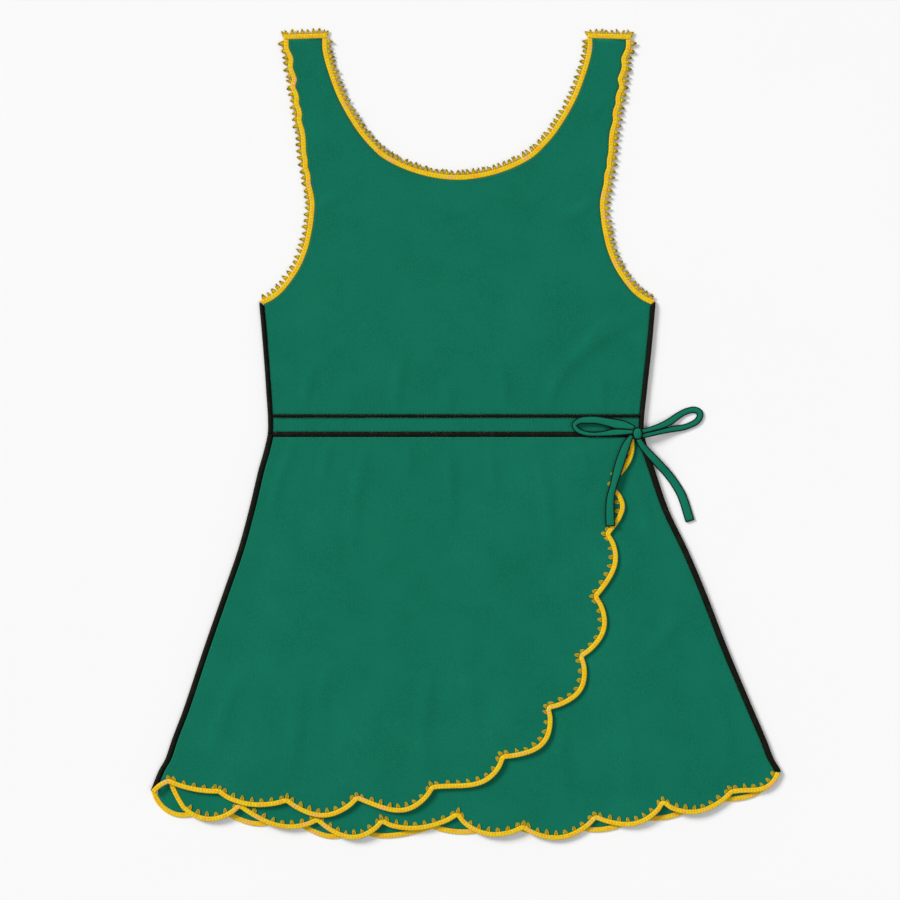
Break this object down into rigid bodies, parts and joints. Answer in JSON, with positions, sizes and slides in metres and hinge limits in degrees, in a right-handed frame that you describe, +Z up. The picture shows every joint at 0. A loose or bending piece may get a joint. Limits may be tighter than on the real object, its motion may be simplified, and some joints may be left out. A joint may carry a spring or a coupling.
{
  "type": "athletic wrap dress",
  "caption": "Sleeveless wrap-front athletic dress laid flat: scoop neck, side bow, scalloped skirt layers and picot-edged trim.",
  "frame": {"origin": "on the surface that the dress lies on, under the middle of its outline", "axes": "+Y along the dress from hem to neck, +X to the side with the bow, +Z up from the surface"},
  "size_m": [0.6614, 0.8518, 0.0099],
  "materials": {
    "body_knit": "matt",
    "picot_trim": "satin",
    "piping": "matt",
    "tie_cloth": "matt"
  },
  "bodies": {
    "root": {"bodice_front": "body_knit", "bodice_back": "body_knit", "waistband_front": "body_knit", "waistband_back": "body_knit", "skirt_overlap": "body_knit", "skirt_underlap": "body_knit", "skirt_back": "body_knit", "neck_trim_front": "picot_trim", "neck_trim_back": "picot_trim", "armhole_trim_left_front": "picot_trim", "armhole_trim_left_back": "picot_trim", "armhole_trim_right_front": "picot_trim", "armhole_trim_right_back": "picot_trim", "shoulder_trim_left": "picot_trim", "shoulder_trim_right": "picot_trim", "overlap_trim": "picot_trim", "underlap_trim": "picot_trim", "back_hem_trim": "picot_trim", "side_piping_bodice_left": "piping", "side_piping_bodice_right": "piping", "side_piping_skirt_left": "piping", "side_piping_skirt_right": "piping", "waist_piping_upper_front": "piping", "waist_piping_upper_back": "piping", "waist_piping_lower_front": "piping", "waist_piping_lower_back": "piping", "tie_knot": "tie_cloth", "tie_loop_left": "tie_cloth", "tie_loop_right": "tie_cloth", "tie_tail_left": "tie_cloth", "tie_tail_right": "tie_cloth"}
  },
  "joints": []
}
